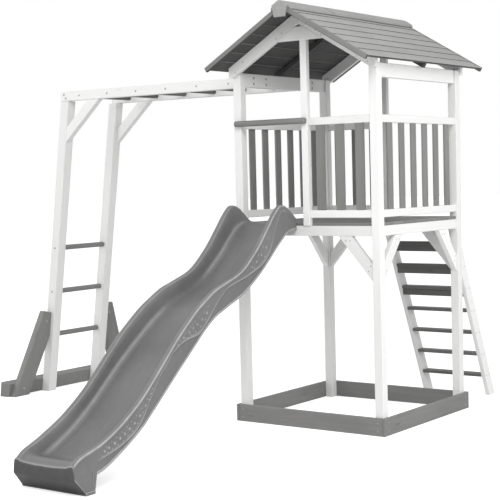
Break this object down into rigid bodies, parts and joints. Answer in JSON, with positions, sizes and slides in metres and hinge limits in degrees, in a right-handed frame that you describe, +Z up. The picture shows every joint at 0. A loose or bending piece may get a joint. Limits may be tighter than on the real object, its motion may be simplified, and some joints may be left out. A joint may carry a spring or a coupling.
{
  "type": "wooden play tower with slide",
  "caption": "Free-standing timber play tower with a pitched roof, railed deck over a sandbox, wavy plastic slide, ladder and an overhead climbing frame at one side.",
  "frame": {"origin": "middle of the bounding box on the ground", "axes": "+Z up, -Y the way the slide runs out, +Y the ladder side, -X the climbing frame side"},
  "size_m": [3.0492, 3.509, 2.4564],
  "materials": {
    "white_timber": "white stain, satin",
    "grey_timber": "mid-grey stain, matt",
    "roof_timber": "light grey stain, matt",
    "slide_plastic": "moulded, slightly glossy"
  },
  "bodies": {
    "root": {"corner_post_front_left": "white_timber", "knee_brace_front_left_a": "white_timber", "knee_brace_front_left_b": "white_timber", "corner_post_back_left": "white_timber", "knee_brace_back_left_a": "white_timber", "knee_brace_back_left_b": "white_timber", "corner_post_front_right": "white_timber", "knee_brace_front_right_a": "white_timber", "knee_brace_front_right_b": "white_timber", "corner_post_back_right": "white_timber", "knee_brace_back_right_a": "white_timber", "knee_brace_back_right_b": "white_timber", "mid_post_front": "white_timber", "deck_beam_front": "white_timber", "sandbox_front": "grey_timber", "balustrade_front": "grey_timber", "gable_frame_front": "white_timber", "climbing_beam_front": "white_timber", "climbing_post_front": "white_timber", "mid_post_back": "white_timber", "deck_beam_back": "white_timber", "sandbox_back": "grey_timber", "balustrade_back": "grey_timber", "gable_frame_back": "white_timber", "climbing_beam_back": "white_timber", "climbing_post_back": "white_timber", "deck_beam_left": "white_timber", "sandbox_left": "grey_timber", "balustrade_left": "grey_timber", "top_beam_left": "white_timber", "roof_slope_left": "roof_timber", "ladder_stringer_left": "white_timber", "deck_beam_right": "white_timber", "sandbox_right": "grey_timber", "balustrade_right": "grey_timber", "top_beam_right": "white_timber", "roof_slope_right": "roof_timber", "ladder_stringer_right": "white_timber", "ridge_cap": "roof_timber", "handrail": "grey_timber", "deck": "grey_timber", "slide": "slide_plastic", "base_frame": "grey_timber", "ladder_tread_1": "grey_timber", "ladder_tread_2": "grey_timber", "ladder_tread_3": "grey_timber", "ladder_tread_4": "grey_timber", "ladder_tread_5": "grey_timber", "ladder_tread_6": "grey_timber", "ladder_tread_7": "grey_timber", "overhead_rung_1": "grey_timber", "overhead_rung_2": "grey_timber", "overhead_rung_3": "grey_timber", "overhead_rung_4": "grey_timber", "overhead_rung_5": "grey_timber", "overhead_rung_6": "grey_timber", "end_rung_1": "grey_timber", "end_rung_2": "grey_timber", "end_rung_3": "grey_timber"}
  },
  "joints": []
}
